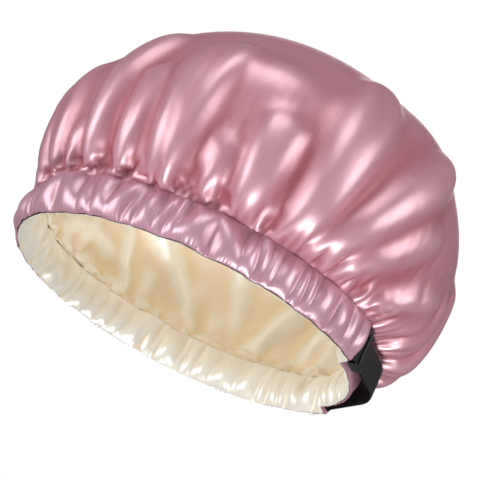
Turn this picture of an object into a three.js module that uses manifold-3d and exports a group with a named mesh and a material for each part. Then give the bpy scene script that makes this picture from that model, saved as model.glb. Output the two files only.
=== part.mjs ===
// An adjustable double-layer satin sleep bonnet.
// Millimetres, +Z up. The origin is the centre of the head opening, in the plane of the hem.
// +X points to the nape, where the adjuster strap crosses the outside of the band.
import * as THREE from 'three';
import Module from 'manifold-3d';
import { mergeVertices } from 'three/addons/utils/BufferGeometryUtils.js';

const wasm = await Module();
wasm.setup();

// Head opening, measured along the hem line between the two fabrics
const rimLength = 238;
const rimWidth = 195;

// Fabric and the clearances between pieces that touch
const clothThickness = 0.8;
const seatGap = 0.3;
const layerGap = 0.5;

// Gathered band with a tunnel for the elastic
const bandHeight = 27;
const bandRuffle = 3.4;
const liningRuffle = 2.4;
const ruffleCount = 28;
const ruffleHemShare = 0.12;
const ruffleWander = 1;
const ruffleWanderTurns = 3;

// Elastic, and the strap that is the exposed stretch of it
const elasticWidth = 20;
const elasticThickness = 1.2;
const elasticBase = 3.5;

// Nape, where the band is drawn in behind the strap between two slits
const slitAngle = THREE.MathUtils.degToRad(31);
const slitWidth = 9;
const slitBaseRoom = 0.5;
const slitTopRoom = 0.7;
const napeInset = 8;
const napeTunnel = 1;
const napeRamp = 8;
const strapOverlap = 7.5;
const strapStandOff = 2.2;
const strapBendHalfWidth = 14;

// Doubled free end of the elastic, behind the strap
const tailStart = 5;
const tailEndRoom = 1.4;
const tailTackHeight = 14;
const tailTackWidth = 1.2;

// Three-bar slide
const slideLength = 10;
const slideRailHeight = 2;
const slideBarThickness = 1.2;
const slideBackBarLength = 2.2;
const slideFrontBarLength = 2.6;
const slideStart = 12;
const slideCorner = 0.6;

// Sewing threads
const threadSize = 0.7;
const hemThreadBase = 0.9;
const seamThreadDrop = 0.8;
const bartackDrop = 1;

// Crown
const crownFront = 139;
const crownBack = 149.5;
const crownSide = 136;
const crownHeight = 191;
const bulgeHeight = 86;
const crownLean = 8.8;
const lowerFullnessShare = 0.75;
const backFullnessShare = 0.25;
const lowerRiseShare = 0.25;
const upperFullnessShare = 0.78;
const domeRiseShare = 1.29;
const bulgeShare = 0.27;
const lowestTilt = THREE.MathUtils.degToRad(-50);

// Long folds of the crown: each starts at the seam at its angle, and reaches a share of the way up
const foldHeight = 10;
const foldSettle = 4.5;
const foldSettleShare = 0.5;
const foldHalfAngle = THREE.MathUtils.degToRad(8);
const longFolds = [
  { degrees: -176, reachShare: 0.42, heightShare: 0.75 },
  { degrees: -163, reachShare: 0.5, heightShare: 0.8 },
  { degrees: -149, reachShare: 0.44, heightShare: 0.8 },
  { degrees: -138, reachShare: 0.52, heightShare: 0.8 },
  { degrees: -127, reachShare: 0.46, heightShare: 0.8 },
  { degrees: -117, reachShare: 0.62, heightShare: 0.9 },
  { degrees: -106, reachShare: 0.66, heightShare: 1 },
  { degrees: -95, reachShare: 0.34, heightShare: 0.8 },
  { degrees: -79, reachShare: 0.3, heightShare: 1 },
  { degrees: -62, reachShare: 0.5, heightShare: 1 },
  { degrees: -47, reachShare: 0.37, heightShare: 1 },
  { degrees: -33, reachShare: 0.33, heightShare: 1 },
  { degrees: -20, reachShare: 0.38, heightShare: 0.9 },
  { degrees: -7, reachShare: 0.3, heightShare: 0.8 },
  { degrees: 7, reachShare: 0.36, heightShare: 0.8 },
  { degrees: 21, reachShare: 0.44, heightShare: 0.9 },
  { degrees: 36, reachShare: 0.36, heightShare: 0.9 },
  { degrees: 51, reachShare: 0.48, heightShare: 0.9 },
  { degrees: 66, reachShare: 0.38, heightShare: 0.9 },
  { degrees: 82, reachShare: 0.52, heightShare: 1 },
  { degrees: 97, reachShare: 0.4, heightShare: 0.9 },
  { degrees: 112, reachShare: 0.5, heightShare: 0.9 },
  { degrees: 127, reachShare: 0.42, heightShare: 0.9 },
  { degrees: 142, reachShare: 0.48, heightShare: 0.8 },
  { degrees: 157, reachShare: 0.38, heightShare: 0.8 },
  { degrees: 171, reachShare: 0.46, heightShare: 0.75 },
];

// How finely the forms are stepped
const stepsPerRuffle = 4;
const lowerRows = 3;
const upperRows = 6;
const bandRowShares = [0, 0.3, 0.64, 1];
const elasticSteps = 96;
const strapStraightSteps = 6;
const strapBendSteps = 8;
const strapTunnelSteps = 3;
const rampSteps = 3;

const satinPink = { color: 0xc98a9c, roughness: 0.32, metalness: 0 };
const satinIvory = { color: 0xf0e3bd, roughness: 0.36, metalness: 0 };
const elasticBlack = { color: 0x17181a, roughness: 0.7, metalness: 0 };
const plasticBlack = { color: 0x0d0e10, roughness: 0.3, metalness: 0 };
const threadPink = { color: 0xb57f92, roughness: 0.5, metalness: 0 };

// A point of the hem ellipse, moved outwards along the ellipse's normal.
function rimPoint(angle, offset) {
  const normal = rimNormal(angle);
  return new THREE.Vector2(
    rimLength / 2 * Math.cos(angle) + offset * normal.x,
    rimWidth / 2 * Math.sin(angle) + offset * normal.y,
  );
}

function rimNormal(angle) {
  return new THREE.Vector2(rimWidth * Math.cos(angle), rimLength * Math.sin(angle)).normalize();
}

// Millimetres along the hem for one radian of angle.
function rimPace(angle) {
  return Math.hypot(rimLength / 2 * Math.sin(angle), rimWidth / 2 * Math.cos(angle));
}

// How far an angle is from the nape, without its sign.
function fromNape(angle) {
  return Math.abs(Math.atan2(Math.sin(angle), Math.cos(angle)));
}

const rampAngle = napeRamp / rimPace(slitAngle);
const rampAngles = angleRun(slitAngle - rampAngle, slitAngle, rampSteps);

// 0 where the band lies on the elastic, and 1 where it is drawn in behind the strap.
function napeShare(angle) {
  return 1 - THREE.MathUtils.smoothstep(fromNape(angle), slitAngle - rampAngle, slitAngle);
}

// Outward offsets of the layers of the band from the hem ellipse
const elasticMiddle = seatGap + elasticThickness / 2;
const tunnelOuter = elasticThickness + 2 * seatGap;

function liningOffset(angle) {
  return THREE.MathUtils.lerp(0, -napeInset, napeShare(angle));
}

function bandInnerOffset(angle) {
  return THREE.MathUtils.lerp(tunnelOuter, napeTunnel - napeInset, napeShare(angle));
}

// Gathers stand up to the ruffle's depth between the hem and the seam, and flatten at both.
function ruffle(angle, height, depth) {
  const wander = ruffleWander * Math.sin(ruffleWanderTurns * angle);
  const wave = 0.5 - 0.5 * Math.cos(ruffleCount * angle + wander);
  const rise = Math.sin(Math.PI * (ruffleHemShare + (1 - ruffleHemShare) * height / bandHeight));
  return depth * wave * Math.max(rise, 0) * (1 - napeShare(angle)) ** 2;
}

function bandOuterOffset(angle, height) {
  return bandInnerOffset(angle) + clothThickness + ruffle(angle, height, bandRuffle);
}

// A closed body from one outline per angle: a ring of tube where the outline closes on itself,
// and a domed shell where it starts and ends on points that all the outlines share. Each four
// corners are split along the same diagonal on both faces of the fabric, so that layers nest.
function turnedBody(angles, outlineAt, poles) {
  const outlines = angles.map(outlineAt);
  const size = outlines[0].length;
  const positions = outlines.flat().flatMap((point) => point.toArray());
  const faces = [];
  const quads = poles ? size - 1 : size;
  outlines.forEach((_, i) => {
    const here = i * size;
    const next = ((i + 1) % outlines.length) * size;
    for (let j = 0; j < quads; j += 1) {
      const k = (j + 1) % size;
      const firstPole = poles && j === 0;
      const lastPole = poles && k === size - 1;
      const rises = outlines[i][k].z >= outlines[i][j].z;
      if (!firstPole) faces.push(here + j, next + j, rises ? here + k : next + k);
      if (!lastPole) faces.push(rises ? next + j : here + j, next + k, here + k);
    }
  });
  const geometry = new THREE.BufferGeometry();
  geometry.setAttribute('position', new THREE.Float32BufferAttribute(positions, 3));
  geometry.setIndex(faces);
  return mergeVertices(geometry);
}

// Angles round the whole rim, with steps of their own on the two ramps at the nape.
function withRamps(angles) {
  const own = rampAngles.flatMap((angle) => [angle, 2 * Math.PI - angle]);
  const clear = angles.filter((angle) => own.every((near) => Math.abs(angle - near) > rampAngle / 2));
  return [...clear, ...own].sort((before, after) => before - after);
}

function fullTurn(steps) {
  return withRamps(Array.from({ length: steps }, (_, i) => 2 * Math.PI * i / steps));
}

function angleRun(start, end, steps) {
  return Array.from({ length: steps + 1 }, (_, i) => THREE.MathUtils.lerp(start, end, i / steps));
}

function bandSpot(angle, offset, height) {
  const spot = rimPoint(angle, offset);
  return new THREE.Vector3(spot.x, spot.y, height);
}

function toManifold(geometry) {
  const bare = geometry.clone();
  bare.deleteAttribute('normal');
  bare.deleteAttribute('uv');
  const merged = mergeVertices(bare);
  const vertProperties = new Float32Array(merged.attributes.position.array);
  const triVerts = new Uint32Array(merged.index.array);
  return new wasm.Manifold(new wasm.Mesh({ numProp: 3, vertProperties, triVerts }));
}

function toGeometry(solid) {
  const mesh = solid.getMesh();
  const geometry = new THREE.BufferGeometry();
  geometry.setAttribute('position', new THREE.BufferAttribute(mesh.vertProperties, 3));
  geometry.setIndex(new THREE.BufferAttribute(mesh.triVerts, 1));
  return geometry;
}

// A flat strip that stands on its edge and follows a line drawn in plan.
function standingStrip(line, thickness, base, height, closed) {
  const last = line.length - 1;
  const sides = line.map((point, i) => {
    const before = closed ? line[(i + last) % line.length] : line[Math.max(i - 1, 0)];
    const after = closed ? line[(i + 1) % line.length] : line[Math.min(i + 1, last)];
    const along = after.clone().sub(before).normalize();
    const across = new THREE.Vector2(along.y, -along.x).multiplyScalar(thickness / 2);
    return { outer: point.clone().add(across), inner: point.clone().sub(across) };
  });
  const outer = sides.map((side) => side.outer);
  const inner = sides.map((side) => side.inner);
  const shape = new THREE.Shape(closed ? outer : [...outer, ...inner.reverse()]);
  if (closed) shape.holes.push(new THREE.Path(inner));
  const strip = new THREE.ExtrudeGeometry(shape, { depth: height, bevelEnabled: false });
  strip.translate(0, 0, base);
  return strip;
}

function piece(name, geometry, finish) {
  const mesh = new THREE.Mesh(geometry, new THREE.MeshStandardMaterial(finish));
  mesh.name = name;
  return mesh;
}

// Slits in the outer band: each is a window with the elastic's height and some room.
const slitBase = elasticBase - slitBaseRoom;
const slitTop = elasticBase + elasticWidth + slitTopRoom;
const slitMiddleAngle = slitAngle - slitWidth / 2 / rimPace(slitAngle);

function slitCutter(side) {
  const angle = side * slitMiddleAngle;
  const depth = 2 * (napeInset + bandRuffle);
  const cutter = new THREE.BoxGeometry(depth, slitWidth, slitTop - slitBase);
  const middle = rimPoint(angle, (tunnelOuter - napeInset) / 2);
  cutter.rotateZ(rimNormal(angle).angle());
  cutter.translate(middle.x, middle.y, (slitTop + slitBase) / 2);
  return toManifold(cutter);
}

// Outer band: the pink wall of the tunnel, with a foot that turns in under the elastic.
function outerBand() {
  const outlineAt = (angle) => {
    const wall = bandRowShares.map((share) => share * bandHeight);
    const inner = bandInnerOffset(angle);
    const outside = wall.map((height) => bandSpot(angle, bandOuterOffset(angle, height), height));
    const inside = wall.slice(1).reverse().map(
      (height) => bandSpot(angle, inner + ruffle(angle, height, bandRuffle), height),
    );
    const foot = liningOffset(angle) + seatGap;
    return [
      ...outside,
      ...inside,
      bandSpot(angle, inner + ruffle(angle, clothThickness, bandRuffle), clothThickness),
      bandSpot(angle, foot, clothThickness),
      bandSpot(angle, foot, 0),
    ];
  };
  const ring = toManifold(turnedBody(fullTurn(ruffleCount * stepsPerRuffle), outlineAt, false));
  const cut = ring.subtract(slitCutter(-1)).subtract(slitCutter(1));
  return piece('outer_casing', toGeometry(cut), satinPink);
}

// Heights of the seams that join each crown to its band
const seamHeight = bandHeight + seatGap;
const liningInset = clothThickness + layerGap;
const liningSeamHeight = seamHeight + liningInset;
const liningBandHeight = liningSeamHeight - seatGap;

// Lining band: the ivory wall of the tunnel, gathered on its inner face.
function liningBand() {
  const outlineAt = (angle) => {
    const outer = liningOffset(angle);
    const inside = bandRowShares.toReversed().map((share) => {
      const depth = clothThickness + ruffle(angle, share * bandHeight, liningRuffle);
      return bandSpot(angle, outer - depth, share * liningBandHeight);
    });
    return [bandSpot(angle, outer, 0), bandSpot(angle, outer, liningBandHeight), ...inside];
  };
  const ring = turnedBody(fullTurn(ruffleCount * stepsPerRuffle), outlineAt, false);
  return piece('lining_casing', ring, satinIvory);
}

// The widest line of the crown, seen from above.
function bulgePoint(angle, inset) {
  const reach = Math.cos(angle) > 0 ? crownBack : crownFront;
  return new THREE.Vector2((reach - inset) * Math.cos(angle), (crownSide - inset) * Math.sin(angle));
}

const foldAngles = longFolds.map(({ degrees }) => THREE.MathUtils.degToRad(degrees));

// One step on each fold's ridge, and one in the crease before the next.
function crownTurn() {
  const angles = foldAngles.flatMap((ridge, i) => {
    const next = foldAngles[i + 1] ?? foldAngles[0] + 2 * Math.PI;
    return [ridge, (ridge + next) / 2];
  });
  return withRamps(angles.map((angle) => THREE.MathUtils.euclideanModulo(angle, 2 * Math.PI)));
}

// How far the folds stand out of the dome at an angle, or how deep the crease between them sinks.
function fold(angle, share) {
  const heights = longFolds.map(({ reachShare, heightShare }, i) => {
    const apart = Math.min(fromNape(angle - foldAngles[i]) / foldHalfAngle, 1);
    const along = Math.sqrt(Math.max(1 - (share / reachShare) ** 2, 0));
    return foldHeight * heightShare * Math.cos(Math.PI / 2 * apart) * along;
  });
  return Math.max(...heights) - foldSettle * Math.exp(-((share / foldSettleShare) ** 2));
}

// The lower part of the dome leaves the seam outwards, most of all at the nape.
function lowerSpot(angle, seam, bulge, seamHeight, share) {
  const turn = Math.PI / 2 * share;
  const fullness = lowerFullnessShare - backFullnessShare * Math.cos(angle);
  const plan = seam.clone().lerp(bulge, Math.sin(turn) ** fullness);
  const rise = THREE.MathUtils.lerp(1 - Math.cos(turn), share, lowerRiseShare);
  return { plan, height: THREE.MathUtils.lerp(seamHeight, bulgeHeight, rise) };
}

function upperSpot(bulge, top, share) {
  const turn = Math.PI / 2 * share;
  const rise = Math.sin(turn) ** domeRiseShare;
  const plan = bulge.clone().multiplyScalar(Math.cos(turn) ** upperFullnessShare);
  plan.x += crownLean * rise;
  return { plan, height: THREE.MathUtils.lerp(bulgeHeight, top, rise) };
}

// One meridian of a crown surface, from the seam to the top.
function meridian(angle, seamOffset, inset, seamHeight) {
  const seam = rimPoint(angle, seamOffset);
  const bulge = bulgePoint(angle, inset);
  const top = crownHeight - inset;
  const outward = new THREE.Vector2(Math.cos(angle), Math.sin(angle));
  const seamSpot = new THREE.Vector3(seam.x, seam.y, seamHeight);
  const place = (spot, tilt, share) => {
    const stand = fold(angle, share);
    spot.plan.addScaledVector(outward, stand * Math.cos(tilt));
    return new THREE.Vector3(spot.plan.x, spot.plan.y, spot.height + stand * Math.sin(tilt));
  };
  const lower = Array.from({ length: lowerRows }, (_, row) => {
    const share = (row + 1) / lowerRows;
    const tilt = lowestTilt * (1 - share);
    return place(lowerSpot(angle, seam, bulge, seamHeight, share), tilt, bulgeShare * share);
  });
  const upper = Array.from({ length: upperRows - 1 }, (_, row) => {
    const share = (row + 1) / upperRows;
    const tilt = Math.PI / 2 * share;
    return place(upperSpot(bulge, top, share), tilt, THREE.MathUtils.lerp(bulgeShare, 1, share));
  });
  return [seamSpot, ...lower, ...upper, new THREE.Vector3(crownLean, 0, top)];
}

// A crown is a shell: out along one surface from the seam to the top, and back along another.
function crownShell(name, finish, seamOffsetAt, inset, seamHeight) {
  const outlineAt = (angle) => {
    const offset = seamOffsetAt(angle);
    const outer = meridian(angle, offset, inset, seamHeight);
    const inner = meridian(
      angle,
      offset - clothThickness,
      inset + clothThickness,
      seamHeight + clothThickness,
    );
    return [...inner.reverse(), ...outer];
  };
  return piece(name, turnedBody(crownTurn(), outlineAt, true), finish);
}

function crownSeamOffset(angle) {
  return bandInnerOffset(angle) + clothThickness;
}

// Elastic in the tunnel, from one slit round the front to the other.
const meetAngle = slitAngle + strapOverlap / rimPace(slitAngle);
const meetGapAngle = seatGap / rimPace(slitAngle);

function tunnelElastic() {
  const angles = angleRun(meetAngle + meetGapAngle, 2 * Math.PI - meetAngle - meetGapAngle, elasticSteps);
  const line = angles.map((angle) => rimPoint(angle, elasticMiddle));
  return piece(
    'elastic_band',
    standingStrip(line, elasticThickness, elasticBase, elasticWidth, false),
    elasticBlack,
  );
}

// The strap in plan: straight from each slit, and bent round the nape between the two straights.
const strapLeave = rimPoint(-slitAngle, elasticMiddle);
const strapBendStart = new THREE.Vector2(rimLength / 2 + strapStandOff, -strapBendHalfWidth);
const strapAlong = strapBendStart.clone().sub(strapLeave).normalize();
const strapStraight = strapBendStart.distanceTo(strapLeave);
const strapBendRadius = strapBendHalfWidth / strapAlong.x;
const strapBendAngle = Math.asin(strapAlong.x);

function strapLine() {
  const straightSpot = (share) => strapLeave.clone().lerp(strapBendStart, share);
  const tunnel = angleRun(-meetAngle, -slitAngle, strapTunnelSteps).slice(0, -1);
  const half = [
    ...tunnel.map((angle) => rimPoint(angle, elasticMiddle)),
    ...angleRun(0, 1, strapStraightSteps).map(straightSpot),
  ];
  const centre = strapBendStart.x - strapBendRadius * Math.cos(strapBendAngle);
  const bend = angleRun(-strapBendAngle, strapBendAngle, strapBendSteps).slice(1, -1).map(
    (turn) => new THREE.Vector2(centre + strapBendRadius * Math.cos(turn), strapBendRadius * Math.sin(turn)),
  );
  const mirrored = half.map((point) => new THREE.Vector2(point.x, -point.y)).reverse();
  return [...half, ...bend, ...mirrored];
}

function adjusterStrap() {
  return piece(
    'adjuster_strap',
    standingStrip(strapLine(), elasticThickness, elasticBase, elasticWidth, false),
    elasticBlack,
  );
}

// What lies on the straight of the strap is built along X, with +Y towards the head.
function onStrap(mesh) {
  mesh.position.set(strapLeave.x, strapLeave.y, 0);
  mesh.rotation.z = strapAlong.angle();
  return mesh;
}

// Free end of the elastic, doubled back through the slide and lying behind the strap.
const tailFront = elasticThickness / 2 + seatGap;
const tailBack = tailFront + elasticThickness;
const tailEnd = strapStraight - tailEndRoom;

function strapTail() {
  const tail = new THREE.BoxGeometry(tailEnd - tailStart, elasticThickness, elasticWidth);
  tail.translate((tailEnd + tailStart) / 2, (tailFront + tailBack) / 2, elasticBase + elasticWidth / 2);
  return onStrap(piece('strap_tail', tail, elasticBlack));
}

// Row of stitches that keeps the cut end of the tail from fraying.
function tailBartack() {
  const tack = new THREE.BoxGeometry(tailTackWidth, threadSize, tailTackHeight);
  const reach = tailBack + seatGap + threadSize / 2;
  tack.translate(tailEnd - tailTackWidth, reach, elasticBase + elasticWidth / 2);
  return onStrap(piece('tail_bartack', tack, elasticBlack));
}

// Three-bar slide: two rails past the strap's edges, one bar in front and two behind.
function slide() {
  const front = -elasticThickness / 2 - seatGap - slideBarThickness;
  const back = tailBack + seatGap + slideBarThickness;
  const low = elasticBase - seatGap - slideRailHeight;
  const high = elasticBase + elasticWidth + seatGap + slideRailHeight;
  const block = (length, depth, height, x, y, z) => {
    const box = new THREE.BoxGeometry(length, depth, height);
    box.translate(x, y, z);
    return toManifold(box);
  };
  const railDepth = back - front;
  const barHeight = high - low;
  const barMiddle = (high + low) / 2;
  const backBarPlace = slideLength / 2 - slideBackBarLength / 2;
  const outline = new THREE.Shape();
  outline.moveTo(-slideLength / 2, low + slideCorner);
  outline.lineTo(-slideLength / 2 + slideCorner, low);
  outline.lineTo(slideLength / 2 - slideCorner, low);
  outline.lineTo(slideLength / 2, low + slideCorner);
  outline.lineTo(slideLength / 2, high - slideCorner);
  outline.lineTo(slideLength / 2 - slideCorner, high);
  outline.lineTo(-slideLength / 2 + slideCorner, high);
  outline.lineTo(-slideLength / 2, high - slideCorner);
  const frame = new THREE.ExtrudeGeometry(outline, { depth: railDepth, bevelEnabled: false });
  frame.rotateX(Math.PI / 2);
  frame.translate(0, back, 0);
  const rail = (z) => block(slideLength, railDepth, slideRailHeight, 0, (front + back) / 2, z);
  const backBar = (x) => block(
    slideBackBarLength,
    slideBarThickness,
    barHeight,
    x,
    back - slideBarThickness / 2,
    barMiddle,
  );
  const frontBar = block(
    slideFrontBarLength,
    slideBarThickness,
    barHeight,
    0,
    front + slideBarThickness / 2,
    barMiddle,
  );
  const solid = rail(low + slideRailHeight / 2)
    .add(rail(high - slideRailHeight / 2))
    .add(frontBar)
    .add(backBar(-backBarPlace))
    .add(backBar(backBarPlace))
    .intersect(toManifold(frame));
  const geometry = toGeometry(solid);
  geometry.translate(slideStart, 0, 0);
  return onStrap(piece('slide', geometry, plasticBlack));
}

// A thread lies on the band, and stands off further along the rim's normal where the band ramps.
function threadSpot(angle, height) {
  const share = napeShare(angle);
  const standOff = (seatGap + threadSize / 2) * (1 + 4 * share * (1 - share));
  return rimPoint(angle, bandOuterOffset(angle, height) + standOff);
}

// Row of stitches round the outside of the band, at one height.
function bandThread(name, base) {
  const line = fullTurn(ruffleCount * stepsPerRuffle).map((angle) => threadSpot(angle, base));
  return piece(name, standingStrip(line, threadSize, base, threadSize, true), threadPink);
}

// A bar of close stitches across one end of a slit.
function slitBartack(name, side, base) {
  const line = rampAngles.map((angle) => threadSpot(side * angle, base));
  return piece(name, standingStrip(line, threadSize, base, threadSize, false), threadPink);
}

const upperTackBase = slitTop + seatGap;
const lowerTackBase = slitBase - bartackDrop;

const bonnet = new THREE.Group();
bonnet.add(
  crownShell('outer_crown', satinPink, crownSeamOffset, 0, seamHeight),
  crownShell('lining_crown', satinIvory, liningOffset, liningInset, liningSeamHeight),
  outerBand(),
  liningBand(),
  tunnelElastic(),
  adjusterStrap(),
  strapTail(),
  tailBartack(),
  slide(),
  bandThread('seam_thread', bandHeight - seamThreadDrop),
  bandThread('hem_thread', hemThreadBase),
  slitBartack('left_upper_bartack', -1, upperTackBase),
  slitBartack('left_lower_bartack', -1, lowerTackBase),
  slitBartack('right_upper_bartack', 1, upperTackBase),
  slitBartack('right_lower_bartack', 1, lowerTackBase),
);

export default bonnet;
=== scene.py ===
# Hair bonnet: a satin sleep bonnet with a lining, a gathered elastic band and an adjuster strap.
import math
import random

import bmesh
import bpy
import numpy as np
from mathutils import Matrix, Vector
from mathutils.bvhtree import BVHTree


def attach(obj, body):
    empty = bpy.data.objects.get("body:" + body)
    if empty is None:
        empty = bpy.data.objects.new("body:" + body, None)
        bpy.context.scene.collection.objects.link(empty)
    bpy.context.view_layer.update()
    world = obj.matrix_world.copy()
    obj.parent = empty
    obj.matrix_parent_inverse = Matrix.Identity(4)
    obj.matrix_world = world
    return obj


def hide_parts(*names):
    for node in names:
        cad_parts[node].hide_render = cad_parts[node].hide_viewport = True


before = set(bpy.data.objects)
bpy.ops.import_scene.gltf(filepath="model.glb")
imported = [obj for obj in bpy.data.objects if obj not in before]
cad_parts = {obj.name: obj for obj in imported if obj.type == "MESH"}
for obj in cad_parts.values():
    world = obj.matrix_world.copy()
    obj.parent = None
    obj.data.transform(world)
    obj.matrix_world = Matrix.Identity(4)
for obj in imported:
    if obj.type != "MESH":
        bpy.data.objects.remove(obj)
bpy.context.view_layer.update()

# Camera
# The bonnet is tipped towards the viewer, so the camera looks up into the head opening from below
# the hem, and is turned about its own axis.
camera_azimuth = math.radians(8)
camera_elevation = math.radians(-26)
camera_roll = math.radians(27.8)
camera_distance = 0.709
camera_shift_right = 0.0346
camera_shift_up = 0.0501
camera_lens = 85
camera_back = Vector((
    math.sin(camera_azimuth) * math.cos(camera_elevation),
    -math.cos(camera_azimuth) * math.cos(camera_elevation),
    math.sin(camera_elevation),
))
level_right = Vector((math.cos(camera_azimuth), math.sin(camera_azimuth), 0))
level_up = camera_back.cross(level_right)
camera_right = level_right * math.cos(camera_roll) + level_up * math.sin(camera_roll)
camera_up = camera_back.cross(camera_right)
camera_axes = Matrix((camera_right, camera_up, camera_back)).transposed()
camera_data = bpy.data.cameras.new("photo_camera")
camera_data.lens = camera_lens
camera_data.clip_end = 10
camera = bpy.data.objects.new("photo_camera", camera_data)
bpy.context.scene.collection.objects.link(camera)
camera.matrix_world = (
    Matrix.Translation(
        camera_back * camera_distance
        + camera_right * camera_shift_right
        + camera_up * camera_shift_up
    )
    @ camera_axes.to_4x4()
)
bpy.context.scene.camera = camera
bpy.context.scene.view_settings.view_transform = "Standard"

# Outer crown
# A circle of pink satin, sewn by its edge to the top of the band and filled out to a full dome. It
# starts loose and wide, and is drawn in to the band as cloth, so its fullness buckles into folds.
rim_length = 0.238
rim_width = 0.195
seam_height = 0.0273
slit_angle = math.radians(31)
nape_ramp = 0.008
nape_inset = 0.008
nape_closing = 0.0008
wall_stand_off = 0.0018
seam_stand_off = 0.0026
crown_front = 0.139
crown_back = 0.1495
crown_side = 0.136
crown_height = 0.191
bulge_height = 0.086
crown_lean = 0.0088
lower_fullness = 0.75
back_fullness = 0.25
lower_rise = 0.25
upper_fullness = 0.78
dome_rise = 1.29
crown_reach = 0.270

crown_squares = 72
crown_rings = 40
spare_height_shares = (0, 0.05, 0.28, 0.5, 0.75, 1)
crown_spare_shares = (0.55, 0.40, 0.18, 0.06, 0.00, 0)
loose_length_share = 1.03
loose_width_share = 0.97
dome_samples = 401
loose_samples = 200


def rim_pace(angle):
    """Metres along the hem for one radian of angle."""
    return np.hypot(rim_length / 2 * np.sin(angle), rim_width / 2 * np.cos(angle))


ramp_angle = nape_ramp / rim_pace(slit_angle)


def turn_from(centre, angle):
    """The turn from a centre to an angle, the shorter way round."""
    return np.arctan2(np.sin(angle - centre), np.cos(angle - centre))


def nape_share(angle):
    """0 where the band lies on the elastic, and 1 where it is drawn in behind the strap."""
    away = np.abs(turn_from(0, angle))
    climb = np.clip((away - slit_angle + ramp_angle) / ramp_angle, 0, 1)
    return 1 - climb * climb * (3 - 2 * climb)


def rim_normal(angle):
    normal = np.stack([rim_width * np.cos(angle), rim_length * np.sin(angle)])
    return normal / np.hypot(*normal)


def rim_point(angle, offset):
    """Points on the hem's ellipse, moved out along its normal."""
    normal = rim_normal(angle)
    return np.stack([
        rim_length / 2 * np.cos(angle) + offset * normal[0],
        rim_width / 2 * np.sin(angle) + offset * normal[1],
    ])


def wall_offset(angle):
    """Where the pink wall of the tunnel lies when it is flat on the elastic."""
    return wall_stand_off - nape_share(angle) * (nape_inset + nape_closing)


def dome_turn(turn, angle, seam_offset, inset):
    """Points on the dome: turn is 0 at the seam, 1 at the widest place and 2 at the top."""
    seam = rim_point(angle, seam_offset)
    reach = np.where(np.cos(angle) > 0, crown_back, crown_front) - inset
    bulge = np.stack([reach * np.cos(angle), (crown_side - inset) * np.sin(angle)])
    top = crown_height - inset
    low = np.clip(turn, 0, 1)
    out_share = np.sin(low * math.pi / 2) ** (lower_fullness - back_fullness * np.cos(angle))
    up_share = lower_rise * low + (1 - lower_rise) * (1 - np.cos(low * math.pi / 2))
    plan_low = seam + (bulge - seam) * out_share
    height_low = seam_height + (bulge_height - seam_height) * up_share
    high = np.clip(turn - 1, 0, 1) * math.pi / 2
    rise = np.sin(high) ** dome_rise
    plan_high = bulge * np.maximum(np.cos(high), 0) ** upper_fullness
    height_high = bulge_height + (top - bulge_height) * rise
    upper = turn > 1
    x = np.where(upper, plan_high[0] + crown_lean * rise, plan_low[0])
    y = np.where(upper, plan_high[1], plan_low[1])
    return np.stack([x, y, np.where(upper, height_high, height_low)])


def dome_point(angle, share, seam_offset, inset):
    """Points on the dome: share is 0 at the seam and 1 at the top, even along the cloth."""
    turns = np.linspace(0, 2, dome_samples)
    side = dome_turn(turns, np.full(dome_samples, math.pi / 2), seam_stand_off, inset)
    run = np.concatenate([[0], np.cumsum(np.linalg.norm(np.diff(side, axis=1), axis=0))])
    return dome_turn(np.interp(share, run / run[-1], turns), angle, seam_offset, inset)


def dome_normal(angle, share, seam_offset, inset):
    step = 0.002
    least = 1e-9
    aside = dome_point(angle + step, share, seam_offset, inset)
    aside -= dome_point(angle - step, share, seam_offset, inset)
    up = dome_point(angle, np.minimum(share + step, 1), seam_offset, inset)
    up -= dome_point(angle, np.maximum(share - step, 0), seam_offset, inset)
    normal = np.cross(aside, up, axis=0)
    size = np.linalg.norm(normal, axis=0)
    upright = np.array([[0.0], [0.0], [1.0]])
    return np.where(size > least, normal / np.maximum(size, least), upright)


def loose_dome(angle, share, inset, spare_shares):
    """The crown before it is gathered: as long from seam to top as it is cut, and wider round."""
    shares = np.linspace(0, 1, loose_samples)
    side, back, front = (
        dome_point(np.full(loose_samples, turn), shares, seam_stand_off, inset)
        for turn in (math.pi / 2, 0.0, math.pi)
    )
    radius = (np.abs(side[1]) + (back[0] - front[0]) / 2) / 2
    radius *= 1 + np.interp(shares, spare_height_shares, spare_shares)
    run = (crown_reach - inset) / (loose_samples - 1)
    rise = np.sqrt(np.maximum(run ** 2 - np.diff(radius) ** 2, 1e-8))
    height = seam_height + np.concatenate([[0], np.cumsum(rise)])
    wide = np.interp(share, shares, radius)
    return np.stack([
        wide * np.cos(angle) * loose_length_share + share * crown_lean,
        wide * np.sin(angle) * loose_width_share,
        np.interp(share, shares, height),
    ])


def grown_edge(shape, edge):
    """Extrudes an open edge, and gives the new vertices and the new open edge."""
    grown = bmesh.ops.extrude_edge_only(shape, edges=edge)["geom"]
    verts = [part for part in grown if isinstance(part, bmesh.types.BMVert)]
    return verts, [part for part in grown if isinstance(part, bmesh.types.BMEdge) and part.is_boundary]


def in_order(shape):
    """The same shape with its parts in one order, which the operators change from run to run."""
    corners = sorted(shape.verts, key=lambda vert: vert.co[:])
    number_of = {vert: number for number, vert in enumerate(corners)}
    outlines = []
    for face in shape.faces:
        numbers = [number_of[vert] for vert in face.verts]
        first = numbers.index(min(numbers))
        outlines.append(numbers[first:] + numbers[:first])
    ordered = bmesh.new()
    verts = [ordered.verts.new(vert.co) for vert in corners]
    for numbers in sorted(outlines):
        ordered.faces.new([verts[number] for number in numbers])
    shape.free()
    return ordered


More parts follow.
